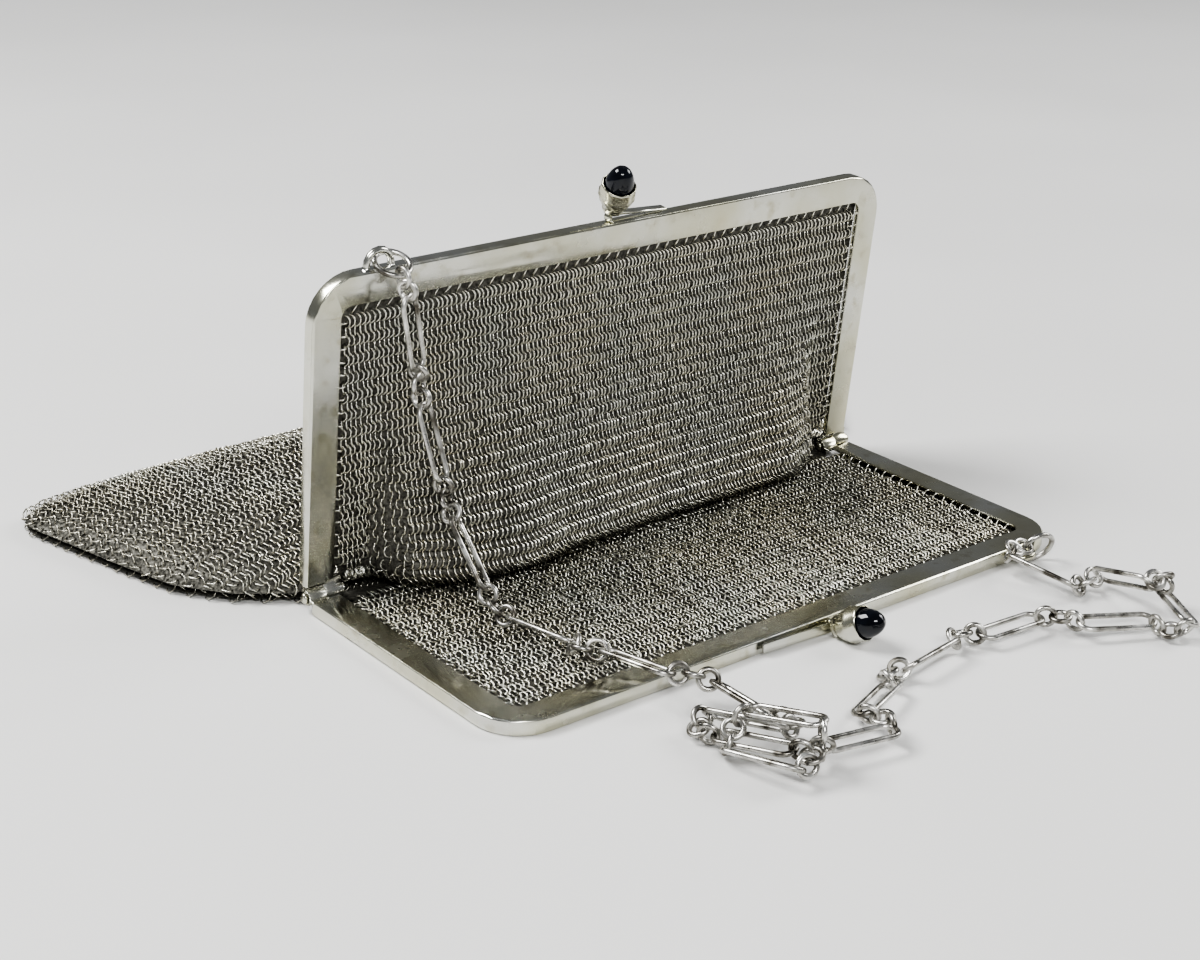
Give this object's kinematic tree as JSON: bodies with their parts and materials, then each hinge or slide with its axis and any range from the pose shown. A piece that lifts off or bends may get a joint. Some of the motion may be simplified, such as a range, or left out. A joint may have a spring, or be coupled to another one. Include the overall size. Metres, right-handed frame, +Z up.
{
  "type": "metal mesh purse",
  "caption": "Small evening purse of silver ring mesh, lying open: hinged channel frame with a kiss clasp tipped with dark stones, collapsed mesh bag and a link chain.",
  "frame": {"origin": "middle of the purse's footprint, on the surface it rests on", "axes": "+X along the hinge, +Y towards the tail of the bag, +Z up"},
  "size_m": [0.2114, 0.1938, 0.0847],
  "materials": {
    "silver": "polished, lightly scratched and tarnished silver",
    "aged_silver": "tarnished silver wire",
    "mesh_silver": "silver ring mesh, dark in its gaps",
    "dark_stone": "polished near-black stone"
  },
  "bodies": {
    "root": {"frame_upright": "silver", "frame_lying": "silver", "hinge_pin_left": "silver", "hinge_pin_right": "silver", "cabochon_upright": "dark_stone", "cabochon_lying": "dark_stone", "jump_ring_upright": "aged_silver", "jump_ring_lying": "aged_silver", "chain": "aged_silver", "mesh_bag": "mesh_silver"}
  },
  "joints": []
}
